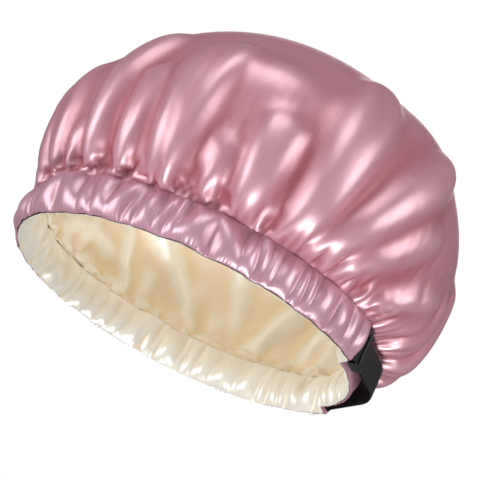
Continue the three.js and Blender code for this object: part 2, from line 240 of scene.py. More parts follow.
def satin_circle(name, squares, rings):
    """A flat round cloth of radius 1: a square grid drawn round, and rings added to its edge."""
    cloth = bmesh.new()
    inner = squares / (squares + 2 * rings)
    bmesh.ops.create_grid(cloth, x_segments=squares, y_segments=squares, size=inner)
    for vert in cloth.verts:
        u, v = vert.co.x, vert.co.y
        reach = max(abs(u), abs(v))
        if reach < 1e-6:
            continue
        turn = math.pi / 4 * (v / u if abs(u) >= abs(v) else 2 - u / v)
        if (u < 0 and abs(u) >= abs(v)) or (v < 0 and abs(v) > abs(u)):
            turn += math.pi
        vert.co = (reach * math.cos(turn), reach * math.sin(turn), 0)
    edge = [e for e in cloth.edges if e.is_boundary]
    for ring in range(rings):
        verts, edge = grown_edge(cloth, edge)
        before = inner + (1 - inner) * ring / rings
        after = inner + (1 - inner) * (ring + 1) / rings
        bmesh.ops.scale(cloth, vec=(after / before,) * 3, verts=verts)
    bmesh.ops.recalc_face_normals(cloth, faces=cloth.faces)
    cloth = in_order(cloth)
    cut = cloth.loops.layers.uv.new("cut")
    for face in cloth.faces:
        for loop in face.loops:
            loop[cut].uv = loop.vert.co.xy * crown_reach
    return finished(name, cloth)


def finished(name, shape):
    """A named object from a worked shape."""
    mesh = bpy.data.meshes.new(name)
    shape.to_mesh(mesh)
    shape.free()
    mesh.shade_smooth()
    made = bpy.data.objects.new(name, mesh)
    bpy.context.scene.collection.objects.link(made)
    return made


def places_of(cloth_piece):
    places = np.empty(len(cloth_piece.data.vertices) * 3)
    cloth_piece.data.vertices.foreach_get("co", places)
    return places.reshape(-1, 3).T


def set_places(cloth_piece, places):
    cloth_piece.data.vertices.foreach_set("co", places.T.ravel())
    cloth_piece.data.update()


def circle_places(cloth_piece):
    """Each vertex's angle round the circle, and its share of the way from the edge to the middle."""
    flat = places_of(cloth_piece)
    return np.arctan2(flat[1], flat[0]), 1 - np.hypot(flat[0], flat[1])


def draw_in(cloth_piece, loose, drawn, hold, bending, pressure, steps):
    """Lets a loose cloth be drawn to its gathered shape as cloth, and keeps how it has fallen."""
    set_places(cloth_piece, loose)
    cloth_piece.shape_key_add(name="loose")
    gathered = cloth_piece.shape_key_add(name="gathered")
    gathered.data.foreach_set("co", drawn.T.ravel())
    for step, value in ((1, 0), (22, 1)):
        gathered.value = value
        gathered.keyframe_insert("value", frame=step)
    held = cloth_piece.vertex_groups.new(name="held")
    for number, weight in enumerate(hold):
        held.add([number], float(weight), "REPLACE")
    cloth = cloth_piece.modifiers.new("cloth", "CLOTH")
    cloth.settings.quality = 5
    cloth.settings.mass = 0.15
    cloth.settings.bending_stiffness = bending
    for strain, stiffness in (("tension", 15), ("compression", 15), ("shear", 5)):
        setattr(cloth.settings, f"{strain}_stiffness", stiffness)
        setattr(cloth.settings, f"{strain}_damping", 5)
    cloth.settings.air_damping = 2
    cloth.settings.vertex_group_mass = "held"
    cloth.settings.pin_stiffness = 1
    cloth.settings.use_pressure = True
    cloth.settings.uniform_pressure_force = pressure
    cloth.settings.effector_weights.gravity = 0
    cloth.collision_settings.use_collision = False
    for step in range(1, steps + 1):
        bpy.context.scene.frame_set(step)
    settled = cloth_piece.evaluated_get(bpy.context.evaluated_depsgraph_get())
    fallen = places_of(settled)
    cloth_piece.modifiers.remove(cloth)
    cloth_piece.shape_key_clear()
    cloth_piece.vertex_groups.remove(held)
    bpy.context.scene.frame_set(1)
    set_places(cloth_piece, fallen)


# Each long fold is a ridge that leaves the band narrow and widens to a rounded tip: its angle at the
# band, its drift as it rises, its reach as a share of the way up, its half widths to either side in
# degrees, and its height in millimetres.
long_folds = [
    (-177, 4, 0.34, 7.0, 6.0, 5.0),
    (-163, 6, 0.46, 6.0, 6.5, 6.0),
    (-150, 4, 0.38, 6.0, 5.0, 6.5),
    (-142, 8, 0.16, 2.6, 2.4, 4.5),
    (-131, 12, 0.48, 5.4, 3.8, 9.0),
    (-120, 10, 0.32, 4.5, 4.0, 7.0),
    (-113, 4, 0.14, 2.4, 2.4, 4.0),
    (-106, 6, 0.45, 8.5, 6.0, 10.0),
    (-93, 0, 0.19, 3.8, 3.8, 6.0),
    (-83, 2, 0.29, 5.4, 5.4, 11.0),
    (-78, 0, 0.10, 2.4, 2.4, 5.0),
    (-69, 8, 0.58, 7.2, 6.8, 13.0),
    (-66, 6, 0.16, 2.2, 2.2, 5.0),
    (-64, 56, 0.53, 6.8, 6.4, 13.0),
    (-56, 72, 0.30, 5.2, 5.0, 11.0),
    (-41, 110, 0.22, 4.6, 4.4, 9.0),
    (-25, 60, 0.18, 3.8, 3.8, 6.5),
    (-12, 15, 0.26, 4.8, 4.8, 7.0),
    (4, -2, 0.36, 6.0, 5.5, 8.0),
    (17, 3, 0.26, 6.5, 6.0, 7.0),
    (29, -4, 0.46, 6.5, 5.5, 8.0),
    (41, -3, 0.26, 4.5, 4.5, 6.5),
    (53, 2, 0.52, 7.0, 6.0, 9.0),
    (67, 3, 0.30, 5.5, 5.0, 7.5),
    (80, -4, 0.56, 7.5, 6.5, 9.0),
    (93, 0, 0.28, 4.5, 5.5, 7.0),
    (106, 4, 0.42, 6.5, 7.0, 8.5),
    (119, -2, 0.24, 4.5, 4.5, 6.0),
    (131, 5, 0.54, 7.0, 6.5, 9.0),
    (146, -3, 0.34, 5.5, 6.0, 7.5),
    (158, 4, 0.48, 5.5, 5.5, 8.0),
    (170, 0, 0.26, 5.0, 4.5, 6.5),
]
# Each swell of the upper crown: its angle, its share of the way up, its half sizes round the crown in
# degrees and up it as a share, and its height in millimetres.
crown_swells = [
    (-89, 0.37, 12, 0.07, 7.0),
    (155, 0.46, 15, 0.10, 5.0),
    (68, 0.48, 14, 0.09, 5.0),
    (8, 0.52, 15, 0.10, 4.5),
    (-32, 0.60, 16, 0.10, 3.5),
]
fold_puff = 1.15
fold_breadth = 1.15
fold_foot_share = 0.45
fold_widening_share = 0.75
fold_tip_share = 0.16
fold_tip_least = 0.035
fold_flank_share = 0.85
fold_flank_power = 6
fold_fade_share = 0.5
fold_start_share = 0.03
fold_settle = 0.0075
fold_settle_share = 0.5
front_settle = 0.001
swell_edge_power = 2.6
nape_sag = 0.013
nape_sag_angle = math.radians(18)
nape_sag_half_angle = math.radians(24)
nape_sag_share = 0.10
nape_sag_half_share = 0.07
gather_count = 70
gather_scatter = 0.4
gather_drift = 14
gather_half_widths = (1.6, 3.6)
gather_low_share = 0.4
gather_start_share = 0.01
crown_ease = 3
ease_start_share = 0.05
ease_climb_share = 0.02


def small_gathers(seed, reaches, tall):
    """The short gathers at the seam, in the same form as the long folds."""
    dice = random.Random(seed)
    return [
        (
            (n + dice.uniform(-gather_scatter, gather_scatter)) * 360 / gather_count,
            dice.uniform(-gather_drift, gather_drift),
            dice.uniform(*reaches),
            dice.uniform(*gather_half_widths),
            dice.uniform(*gather_half_widths),
            dice.uniform(gather_low_share, 1) * tall,
        )
        for n in range(gather_count)
    ]


def fold_heights(folds, angle, share):
    """Heights of a family of folds: puffed ridges with rounded tips, and creases where they meet."""
    blend_power = 4
    total = np.zeros_like(angle)
    for start, drift, reach, left, right, height in folds:
        centre = math.radians(start) + math.radians(drift) * share
        apart = turn_from(centre, angle)
        widened = np.sin(np.clip(share / (fold_widening_share * reach), 0, 1) * math.pi / 2)
        grown = fold_foot_share + (1 - fold_foot_share) * widened
        width = np.radians(np.where(apart > 0, right, left)) * grown * fold_breadth
        tip = max(fold_tip_share * reach, fold_tip_least)
        beyond = np.maximum(share - reach + tip, 0) / tip
        away = np.hypot(apart / width, beyond) / fold_flank_share
        puffed = 1 / (1 + away ** fold_flank_power)
        puffed *= 1 - fold_fade_share * np.clip(share / reach, 0, 1) ** 2
        total += (height / 1000 * puffed) ** blend_power
    return total ** (1 / blend_power)


def swell_heights(swells, angle, share):
    """Heights of the broad swells above the folds."""
    total = np.zeros_like(angle)
    for turn, up, half_width, half_share, height in swells:
        apart = turn_from(math.radians(turn), angle)
        away = np.hypot(apart / math.radians(half_width), (share - up) / half_share)
        total += height / 1000 * np.exp(-away ** swell_edge_power)
    return total


def smooth_once(shape, verts):
    """Draws each vertex half of the way to the middle of its neighbours."""
    bmesh.ops.smooth_vert(
        shape, verts=verts, factor=0.5, use_axis_x=True, use_axis_y=True, use_axis_z=True
    )


def ease(cloth_piece, share, times):
    """Lets the small wrinkles ease out above the gathers, and leaves the broad folds."""
    worked = bmesh.new()
    worked.from_mesh(cloth_piece.data)
    worked.verts.ensure_lookup_table()
    for time in range(times):
        above = share > ease_start_share + ease_climb_share * time
        smooth_once(worked, [worked.verts[n] for n in np.flatnonzero(above)])
    worked.to_mesh(cloth_piece.data)
    worked.free()


puff_crowding = 1.6
puff_lean_share = 0.9
puff_half_share = 0.6
puff_low_share = 0.35
puff_uneven_shares = (0.8, 1.15)
puff_foot_shares = (-0.35, 0.05)
puff_head_shares = (0.9, 1.35)
puff_breadth_power = 0.8
puff_rise_power = 0.7


def puffs(seed, narrow, wide, tall):
    """Uneven puffs round the band: each one's middle, lean, half width, height, foot and head."""
    dice = random.Random(seed)
    made = []
    turn = 0.0
    while turn < 360:
        pitch = narrow + (wide - narrow) * dice.random() ** puff_crowding
        made.append((
            turn + pitch / 2,
            dice.uniform(-puff_lean_share, puff_lean_share) * pitch,
            pitch * puff_half_share,
            tall
            * (puff_low_share + (1 - puff_low_share) * pitch / wide)
            * dice.uniform(*puff_uneven_shares),
            dice.uniform(*puff_foot_shares),
            dice.uniform(*puff_head_shares),
        ))
        turn += pitch
    return made


def puff_heights(family, angle, up_share):
    """How far the puffs stand out, with creases where they meet."""
    blend_power = 5
    total = np.zeros_like(angle)
    for middle, lean, half_width, height, foot, head in family:
        centre = np.radians(middle + lean * (up_share - 0.5))
        apart = turn_from(centre, angle)
        across = np.cos(np.clip(apart / math.radians(half_width), -1, 1) * math.pi / 2)
        along = np.sin(np.clip((up_share - foot) / (head - foot), 0, 1) * math.pi)
        puffed = height * across ** puff_breadth_power * along ** puff_rise_power
        total += puffed ** blend_power
    return total ** (1 / blend_power)


def mark_relief(cloth_piece, times, full):
    """Marks how far each point stands out of the cloth round it, from -1 in the hollows to 1, for the
    satin's painted shade and painted highlights.
    """
    eased = bmesh.new()
    eased.from_mesh(cloth_piece.data)
    inner = [vert for vert in eased.verts if not vert.is_boundary]
    for _ in range(times):
        smooth_once(eased, inner)
    after = np.array([vert.co[:] for vert in eased.verts]).T
    eased.free()
    normals = np.empty(len(cloth_piece.data.vertices) * 3)
    cloth_piece.data.vertices.foreach_get("normal", normals)
    out = np.sum((places_of(cloth_piece) - after) * normals.reshape(-1, 3).T, axis=0)
    marks = cloth_piece.data.attributes.new("relief", "FLOAT", "POINT")
    marks.data.foreach_set("value", np.clip(out / full, -1, 1))


outer_puffs = puffs(seed=3, narrow=2.8, wide=10, tall=0.0072)
lining_puffs = puffs(seed=8, narrow=2.4, wide=9.5, tall=0.0086)
sewn_share = 0.004
sewn_lift_share = 0.1
hold_height_shares = (0.04, 0.2)
crown_pressure = 0.1
crown_steps = 40


def gather_crown(cloth_piece, seam_offset, seam_puff, inset, spare_shares, depth_of, sag_of, hold, bending):
    """Draws a flat satin circle in to a dome with the given folds."""
    angle, share = circle_places(cloth_piece)
    offset = seam_offset(angle)
    drawn = dome_point(angle, share, offset, inset)
    drawn += dome_normal(angle, share, offset, inset) * depth_of(angle, share)
    drawn[2] -= sag_of(angle, share)
    sewn = share < sewn_share
    seam = rim_point(angle, offset + seam_puff(angle))
    drawn[0] = np.where(sewn, seam[0], drawn[0])
    drawn[1] = np.where(sewn, seam[1], drawn[1])
    drawn[2] = np.where(sewn, seam_height + inset * sewn_lift_share, drawn[2])
    weights = np.where(sewn, 1, np.interp(share, hold_height_shares, hold))
    loose = loose_dome(angle, share, inset, spare_shares)
    draw_in(cloth_piece, loose, drawn, weights, bending, crown_pressure, crown_steps)
    ease(cloth_piece, share, crown_ease)


outer_gathers = small_gathers(seed=7, reaches=(0.035, 0.09), tall=4.0)
seam_puff_least = 0.0004
seam_puff_share = 0.5
seam_puff_fade_share = 0.03


def outer_seam_puff(angle):
    """How far the pink puffs stand out where they cross the seam."""
    return seam_puff_least + seam_puff_share * puff_heights(outer_puffs, angle, np.ones_like(angle))


def outer_depth(angle, share):
    """How far the pink satin stands out of the plain dome, or is drawn in."""
    depth = fold_puff * fold_heights(long_folds, angle, share) * (1 - np.exp(-share / fold_start_share))
    depth += fold_heights(outer_gathers, angle, share) * (1 - np.exp(-share / gather_start_share))
    depth += swell_heights(crown_swells, angle, share)
    depth += outer_seam_puff(angle) * np.exp(-(share / seam_puff_fade_share) ** 2)
    front_share = np.cos(angle) ** 2 * (np.cos(angle) < 0)
    settled = fold_settle + front_settle * front_share
    return depth - settled * np.exp(-(share / fold_settle_share) ** 2)


def outer_sag(angle, share):
    """How far the crown hangs down over the band beside the nape."""
    hung = np.exp(-(turn_from(nape_sag_angle, angle) / nape_sag_half_angle) ** 2)
    hung *= np.exp(-((share - nape_sag_share) / nape_sag_half_share) ** 2)
    return nape_sag * hung * (1 - np.exp(-(share / fold_start_share) ** 2))


outer_crown = satin_circle("outer_crown_satin", crown_squares, crown_rings)
gather_crown(
    outer_crown,
    lambda angle: wall_offset(angle) + seam_stand_off - wall_stand_off,
    outer_seam_puff,
    0,
    crown_spare_shares,
    outer_depth,
    outer_sag,
    hold=(0.6, 0.93),
    bending=7,
)
mark_relief(outer_crown, times=16, full=0.0024)


def round_off(cloth_piece):
    smooth = cloth_piece.modifiers.new("round", "SUBSURF")
    smooth.levels = 1
    smooth.render_levels = 1


round_off(outer_crown)


def noise(nodes, links, vector, scale, detail=2.0, stretch=None):
    """A noise mask over the cloth's own flat layout."""
    if stretch:
        turned = nodes.new("ShaderNodeMapping")
        turned.inputs["Scale"].default_value = stretch
        links.new(vector, turned.inputs["Vector"])
        vector = turned.outputs["Vector"]
    cloud = nodes.new("ShaderNodeTexNoise")
    cloud.inputs["Scale"].default_value = scale
    cloud.inputs["Detail"].default_value = detail
    links.new(vector, cloud.inputs["Vector"])
    return cloud.outputs["Fac"]


def blend_colour(nodes, links, factor, first, second):
    mix = nodes.new("ShaderNodeMix")
    mix.data_type = "RGBA"
    links.new(factor, mix.inputs["Factor"])
    for socket, value in ((mix.inputs[6], first), (mix.inputs[7], second)):
        if isinstance(value, bpy.types.NodeSocket):
            links.new(value, socket)
        else:
            socket.default_value = value
    return mix.outputs[2]


def spread(nodes, links, value, low, high, to_low, to_high):
    ramp = nodes.new("ShaderNodeMapRange")
    links.new(value, ramp.inputs["Value"])
    for socket, number in zip(
        ("From Min", "From Max", "To Min", "To Max"), (low, high, to_low, to_high)
    ):
        ramp.inputs[socket].default_value = number
    return ramp.outputs["Result"]


def combine(nodes, links, operation, first, second):
    sum_node = nodes.new("ShaderNodeMath")
    sum_node.operation = operation
    for socket, value in zip(sum_node.inputs, (first, second)):
        if isinstance(value, bpy.types.NodeSocket):
            links.new(value, socket)
        else:
            socket.default_value = value
    return sum_node.outputs["Value"]


def new_material(name):
    """A plain material, with its nodes, its links and its shader."""
    made = bpy.data.materials.new(name)
    made.use_nodes = True
    nodes = made.node_tree.nodes
    return made, nodes, made.node_tree.links, nodes["Principled BSDF"]


def raise_surface(nodes, links, height, strength, distance, shader):
    """Lets a height pattern stand out of the surface."""
    bump = nodes.new("ShaderNodeBump")
    bump.inputs["Strength"].default_value = strength
    bump.inputs["Distance"].default_value = distance
    links.new(height, bump.inputs["Height"])
    links.new(bump.outputs["Normal"], shader.inputs["Normal"])


def place_effect(nodes, links, effect, pattern_place, **values):
    """Places a shared effect in a material, on the given place of the pattern."""
    placed = nodes.new("ShaderNodeGroup")
    placed.node_tree = effect
    links.new(pattern_place, placed.inputs["Cut"])
    for label, value in values.items():
        placed.inputs[label.replace("_", " ")].default_value = value
    return placed


def cut_place(nodes):
    """The place on the flat cloth, before it was sewn."""
    flat = nodes.new("ShaderNodeUVMap")
    flat.uv_map = "cut"
    return flat.outputs["UV"]


def new_effect(name, given, puts_out):
    """A shader node group with named inputs and outputs."""
    effect = bpy.data.node_groups.new(name, "ShaderNodeTree")
    for label, kind in given:
        effect.interface.new_socket(label, in_out="INPUT", socket_type=kind)
    for label, kind in puts_out:
        effect.interface.new_socket(label, in_out="OUTPUT", socket_type=kind)
    return effect, effect.nodes.new("NodeGroupInput"), effect.nodes.new("NodeGroupOutput")


# Satin weave: floats of fine thread along one direction of the cut, slubs where a thread is
# thicker, the soft creases that thin cloth keeps, painted shade in the hollows of its folds and a
# painted highlight on their ridges.
satin_weave_and_painted_shade, given, puts_out = new_effect(
    "satin_weave_and_painted_shade",
    (
        ("Cut", "NodeSocketVector"),
        ("Colour", "NodeSocketColor"),
        ("Ridge Colour", "NodeSocketColor"),
        ("Deep Colour", "NodeSocketColor"),
        ("Roughness", "NodeSocketFloat"),
    ),
    (
        ("Colour", "NodeSocketColor"),
        ("Roughness", "NodeSocketFloat"),
        ("Height", "NodeSocketFloat"),
    ),
)
nodes, links = satin_weave_and_painted_shade.nodes, satin_weave_and_painted_shade.links
cut = given.outputs["Cut"]
slubs = noise(nodes, links, cut, scale=1, detail=3, stretch=(2600, 90, 1))
threads = noise(nodes, links, cut, scale=1, detail=1, stretch=(5200, 420, 1))
creases = noise(nodes, links, cut, scale=95, detail=3)
clouds = noise(nodes, links, cut, scale=22, detail=2)
relief = nodes.new("ShaderNodeAttribute")
relief.attribute_name = "relief"
# Painted shade: the hollows of the folds, found from the relief mark, take the deep colour where shade would
# fall, and are made rougher.
hollow_shade = spread(nodes, links, relief.outputs["Fac"], 0.0, -0.7, 0.0, 0.95)
# Painted highlight: the ridges of the folds are lightened towards the ridge colour.
ridge_highlight = spread(nodes, links, relief.outputs["Fac"], 0.1, 0.9, 0.0, 0.45)
deep_share = spread(nodes, links, clouds, 0.35, 0.7, 0.0, 0.18)
tone = blend_colour(nodes, links, ridge_highlight, given.outputs["Colour"], given.outputs["Ridge Colour"])
tone = blend_colour(nodes, links, deep_share, tone, given.outputs["Deep Colour"])
slub_share = spread(nodes, links, slubs, 0.45, 0.8, 0.0, 0.1)
tone = blend_colour(nodes, links, slub_share, tone, given.outputs["Deep Colour"])
tone = blend_colour(nodes, links, hollow_shade, tone, given.outputs["Deep Colour"])
links.new(tone, puts_out.inputs["Colour"])
slub_gain = spread(nodes, links, slubs, 0.3, 0.7, 0.88, 1.14)
rougher = combine(nodes, links, "MULTIPLY", slub_gain, given.outputs["Roughness"])
duller = combine(nodes, links, "ADD", rougher, combine(nodes, links, "MULTIPLY", hollow_shade, 0.25))
links.new(duller, puts_out.inputs["Roughness"])
fine = combine(nodes, links, "MULTIPLY", threads, 0.02)
fine = combine(nodes, links, "ADD", fine, combine(nodes, links, "MULTIPLY", slubs, 0.03))
height = combine(nodes, links, "ADD", combine(nodes, links, "MULTIPLY", creases, 0.5), fine)
links.new(height, puts_out.inputs["Height"])


def satin(name, colour, painted_highlight_colour, deep_and_shade_colour, roughness, lustre, metal_share):
    """Satin: smooth floats of thread that gather the light into broad soft highlights."""
    cloth, nodes, links, shader = new_material(name)
    weave = place_effect(
        nodes,
        links,
        satin_weave_and_painted_shade,
        cut_place(nodes),
        Colour=colour,
        Ridge_Colour=painted_highlight_colour,
        Deep_Colour=deep_and_shade_colour,
        Roughness=roughness,
    )
    links.new(weave.outputs["Colour"], shader.inputs["Base Color"])
    links.new(weave.outputs["Roughness"], shader.inputs["Roughness"])
    raise_surface(nodes, links, weave.outputs["Height"], 0.5, 0.0006, shader)
    shader.inputs["Metallic"].default_value = metal_share
    shader.inputs["IOR"].default_value = lustre
    return cloth


# Painted light and shade: the ridge colour is a painted highlight on the ridges of the folds, and the deep
# colour paints shade in their hollows as well as tinting the darker clouds and slubs.
pink_satin = satin(
    "pink_satin",
    colour=(0.56, 0.235, 0.30, 1),
    painted_highlight_colour=(0.74, 0.44, 0.52, 1),
    deep_and_shade_colour=(0.32, 0.03, 0.06, 1),
    roughness=0.40,
    lustre=2.4,
    metal_share=0.25,
)
outer_crown.data.materials.append(pink_satin)
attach(outer_crown, "bonnet")
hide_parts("outer_crown")

# Lining crown
# A second circle, of ivory satin, sewn into the same seam. It hangs a little smaller and looser
# inside the outer one, in broad flowing folds that turn towards the head.
lining_squares = 60
lining_rings = 34
lining_inset = 0.009
lining_stand_in = 0.0006
lining_spare_shares = (0.50, 0.28, 0.12, 0.05, 0.0, 0)
lining_clear = 0.0016
lining_look_round = 0.004
lining_seam_share = 0.6
lining_seam_fade_share = 0.04
flow_count = 30
flow_middle = 0.75
flow_headings = (20, 110)
flow_half_lengths = (0.25, 0.5)
flow_half_widths = (0.05, 0.11)
flow_bend = 0.7
flow_rises = (8, 15)
flow_edge_power = 1.6
flow_start_share = 0.05
lining_gather_start_share = 0.02


def lining_offset(angle):
    """Where the ivory wall of the tunnel lies."""
    return -nape_share(angle) * nape_inset


lining_dice = random.Random(23)
lining_flows = [
    (
        lining_dice.uniform(-flow_middle, flow_middle),
        lining_dice.uniform(-flow_middle, flow_middle),
        lining_dice.uniform(*flow_headings),
        lining_dice.uniform(*flow_half_lengths),
        lining_dice.uniform(*flow_half_widths),
        lining_dice.uniform(-flow_bend, flow_bend),
        lining_dice.uniform(*flow_rises),
    )
    for _ in range(flow_count)
]
lining_gathers = small_gathers(seed=11, reaches=(0.08, 0.3), tall=7.0)


def flow_heights(flows, angle, share):
    """Heights of bent folds that lie anywhere on the cut circle, whose radius is 1 here."""
    blend_power = 4
    east, north = (1 - share) * np.cos(angle), (1 - share) * np.sin(angle)
    total = np.zeros_like(angle)
    for east_middle, north_middle, heading, half_length, half_width, bend, height in flows:
        ahead = np.array((math.cos(math.radians(heading)), math.sin(math.radians(heading))))
        along = (east - east_middle) * ahead[0] + (north - north_middle) * ahead[1]
        across = (north - north_middle) * ahead[0] - (east - east_middle) * ahead[1] - bend * along ** 2
        away = np.hypot(along / half_length, across / half_width)
        puffed = np.cos(np.clip(away, 0, 1) * math.pi / 2) ** flow_edge_power
        total += (height / 1000 * puffed) ** blend_power
    return total ** (1 / blend_power)


def lining_seam_puff(angle):
    """How far the ivory pleats stand in where they cross the seam."""
    return -lining_seam_share * puff_heights(lining_puffs, angle, np.ones_like(angle))


def lining_depth(angle, share):
    """How far the ivory satin hangs in from its dome."""
    depth = flow_heights(lining_flows, angle, share) * (1 - np.exp(-share / flow_start_share))
    gathers = fold_heights(lining_gathers, angle, share)
    depth += gathers * (1 - np.exp(-share / lining_gather_start_share))
    return lining_seam_puff(angle) * np.exp(-(share / lining_seam_fade_share) ** 2) - depth


def skin_of(mesh):
    """A mesh's surface, to find where a line of sight meets it."""
    return BVHTree.FromPolygons(
        [vert.co.copy() for vert in mesh.vertices], [tuple(face.vertices) for face in mesh.polygons]
    )


lining_crown = satin_circle("lining_crown_satin", lining_squares, lining_rings)
gather_crown(
    lining_crown,
    lambda angle: lining_offset(angle) - lining_stand_in,
    lining_seam_puff,
    lining_inset,
    lining_spare_shares,
    lining_depth,
    outer_sag,
    hold=(0.7, 0.95),
    bending=8,
)
outer_skin = skin_of(outer_crown.data)
crown_middle = Vector((0.005, 0, 0.085))
for vert in lining_crown.data.vertices:
    out = vert.co - crown_middle
    aside = out.orthogonal().normalized() * lining_look_round
    up = out.cross(aside).normalized() * lining_look_round
    for look in (aside * 0, aside, -aside, up, -up):
        reach = outer_skin.ray_cast(crown_middle, (out + look).normalized())[3]
        if reach and out.length > reach - lining_clear:
            out *= (reach - lining_clear) / out.length
    vert.co = crown_middle + out
lining_crown.data.flip_normals()
mark_relief(lining_crown, times=14, full=0.0024)
round_off(lining_crown)
# Painted light and shade: the ridge colour is a painted highlight on the ridges of the folds, and the peach
# deep colour paints shade in their hollows as well as tinting the darker clouds and slubs.
ivory_satin = satin(
    "ivory_satin",
    colour=(0.90, 0.86, 0.76, 1),
    painted_highlight_colour=(0.93, 0.91, 0.86, 1),
    deep_and_shade_colour=(0.86, 0.70, 0.48, 1),
    roughness=0.31,
    lustre=2.4,
    metal_share=0.1,
)
lining_crown.data.materials.append(ivory_satin)
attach(lining_crown, "bonnet")
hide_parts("lining_crown")

# Outer casing
# The pink wall of the elastic's tunnel: a strip a third longer than the band, gathered at the seam
# and at the hem, where it turns in under the elastic. It has a slit on each side of the nape.
hem_length = 0.68
casing_columns = 720
casing_height = 0.0276
casing_fullness = 1.35
casing_rows = (
    0, 0.0012, 0.0030, 0.0052, 0.0075, 0.0100, 0.0125, 0.0150, 0.0176, 0.0202, 0.0228, 0.0252,
    casing_height,
)
casing_wall = 0.0004
casing_hold = 0.985
casing_bending = 4
casing_pressure = 0.1
casing_steps = 36
casing_ease = 3
casing_clear = 0.0006
casing_seam_clear = 0.0010
casing_least = 0.0003
casing_most = 0.0085
row_reach = 0.0005
turning_height = 0.002
turning_hold = 0.8
hem_gap = 0.0001
hem_height_least = 0.0003
outer_hem_height = 0.0007
hem_lift_share = 0.2
hem_waver_share = 0.2
hem_outer_share = 0.7
hem_puff_share = 0.1
nape_flat_share = 0.6
slit_width = 0.009
slit_base = 0.003
slit_top = 0.0242


def casing_strip(name, rows, fullness):
    """A ring of satin of radius 1 with one row of faces between each two of the given heights."""
    cloth = bmesh.new()
    bmesh.ops.create_circle(cloth, segments=casing_columns, radius=1)
    edge = list(cloth.edges)
    for height in rows[1:]:
        verts, edge = grown_edge(cloth, edge)
        for vert in verts:
            vert.co.z = height
    bmesh.ops.recalc_face_normals(cloth, faces=cloth.faces)
    cloth = in_order(cloth)
    cut = cloth.loops.layers.uv.new("cut")
    length = fullness * hem_length
    for face in cloth.faces:
        middle = face.calc_center_median()
        for loop in face.loops:
            turn = math.atan2(loop.vert.co.y, loop.vert.co.x) - math.atan2(middle.y, middle.x)
            turn = math.atan2(middle.y, middle.x) + math.atan2(math.sin(turn), math.cos(turn))
            loop[cut].uv = (turn / (2 * math.pi) * length, loop.vert.co.z)
    return finished(name, cloth)


def band_places(angle, offset, height):
    spot = rim_point(angle, offset)
    return np.stack([spot[0], spot[1], height])


def band_offset(places):
    """How far out of the hem's ellipse each point is, and the angle it is at."""
    angle = np.arctan2(places[1] * 2 / rim_width, places[0] * 2 / rim_length)
    foot = rim_point(angle, 0)
    normal = rim_normal(angle)
    out = (places[0] - foot[0]) * normal[0] + (places[1] - foot[1]) * normal[1]
    return angle, out


def hem_line(angle):
    """The wavering line in plan where the two walls of the tunnel meet under the elastic."""
    waver = puff_heights(lining_puffs, angle, np.full_like(angle, hem_puff_share))
    middle = (1 - hem_outer_share) * lining_offset(angle) + hem_outer_share * wall_offset(angle)
    return middle - hem_waver_share * waver


outer_casing = casing_strip("outer_casing_satin", casing_rows, casing_fullness)
flat = places_of(outer_casing)
angle, height = np.arctan2(flat[1], flat[0]), flat[2]
up_share = height / casing_height
puff = puff_heights(outer_puffs, angle, up_share) * (1 - nape_flat_share * nape_share(angle))
offset = wall_offset(angle) + casing_clear + puff
hem_row = height < row_reach
offset = np.where(hem_row, hem_line(angle) + hem_gap, offset)
seam_row = height > casing_height - row_reach
offset = np.where(seam_row, wall_offset(angle) + casing_seam_clear + outer_seam_puff(angle), offset)
drawn = band_places(angle, offset, height)
drawn[2] = np.where(hem_row, outer_hem_height + hem_lift_share * puff, drawn[2])
loose = band_places(angle, seam_stand_off, height)
loose[:2] *= casing_fullness
hold = np.where(seam_row | hem_row, 1, np.where(height < turning_height, turning_hold, casing_hold))
draw_in(outer_casing, loose, drawn, hold, casing_bending, casing_pressure, casing_steps)
ease(outer_casing, np.minimum(up_share, 1 - up_share), casing_ease)


def keep_between(cloth_piece, least, most):
    """Keeps a casing between the elastic it lies on and the furthest its gathers stand off."""
    places = places_of(cloth_piece)
    angle, out = band_offset(places)
    kept = np.clip(out, least(angle, places[2]), most(angle, places[2]))
    normal = rim_normal(angle)
    places[0] += (kept - out) * normal[0]
    places[1] += (kept - out) * normal[1]
    places[2] = np.maximum(places[2], hem_height_least)
    set_places(cloth_piece, places)


def casing_foot(angle, height):
    """The least that the pink wall stands off: on the elastic, and in to the hem below it."""
    return np.where(height > turning_height, wall_offset(angle) + casing_least, hem_line(angle))


keep_between(outer_casing, casing_foot, lambda angle, height: wall_offset(angle) + casing_most)
slit_edge = slit_angle - slit_width / rim_pace(slit_angle)
opened = bmesh.new()
opened.from_mesh(outer_casing.data)
window = []
for face in opened.faces:
    middle = face.calc_center_median()
    away = abs(math.atan2(middle.y * 2 / rim_width, middle.x * 2 / rim_length))
    if slit_edge < away < slit_angle and slit_base < middle.z < slit_top:
        window.append(face)
bmesh.ops.delete(opened, geom=window, context="FACES")
opened.to_mesh(outer_casing.data)
opened.free()


def thicken(cloth_piece, thickness, offset):
    wall = cloth_piece.modifiers.new("wall", "SOLIDIFY")
    wall.thickness = thickness
    wall.offset = offset
    round_off(cloth_piece)


mark_relief(outer_casing, times=12, full=0.0014)
thicken(outer_casing, casing_wall, -1)
# Painted light and shade: the ridge colour is a painted highlight on the ridges of the pleats, and the deep
# colour paints shade in their hollows as well as tinting the darker clouds and slubs.
lilac_satin = satin(
    "lilac_satin",
    colour=(0.56, 0.27, 0.36, 1),
    painted_highlight_colour=(0.74, 0.46, 0.58, 1),
    deep_and_shade_colour=(0.26, 0.05, 0.09, 1),
    roughness=0.38,
    lustre=2.4,
    metal_share=0.25,
)
outer_casing.data.materials.append(lilac_satin)
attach(outer_casing, "bonnet")
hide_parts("outer_casing")

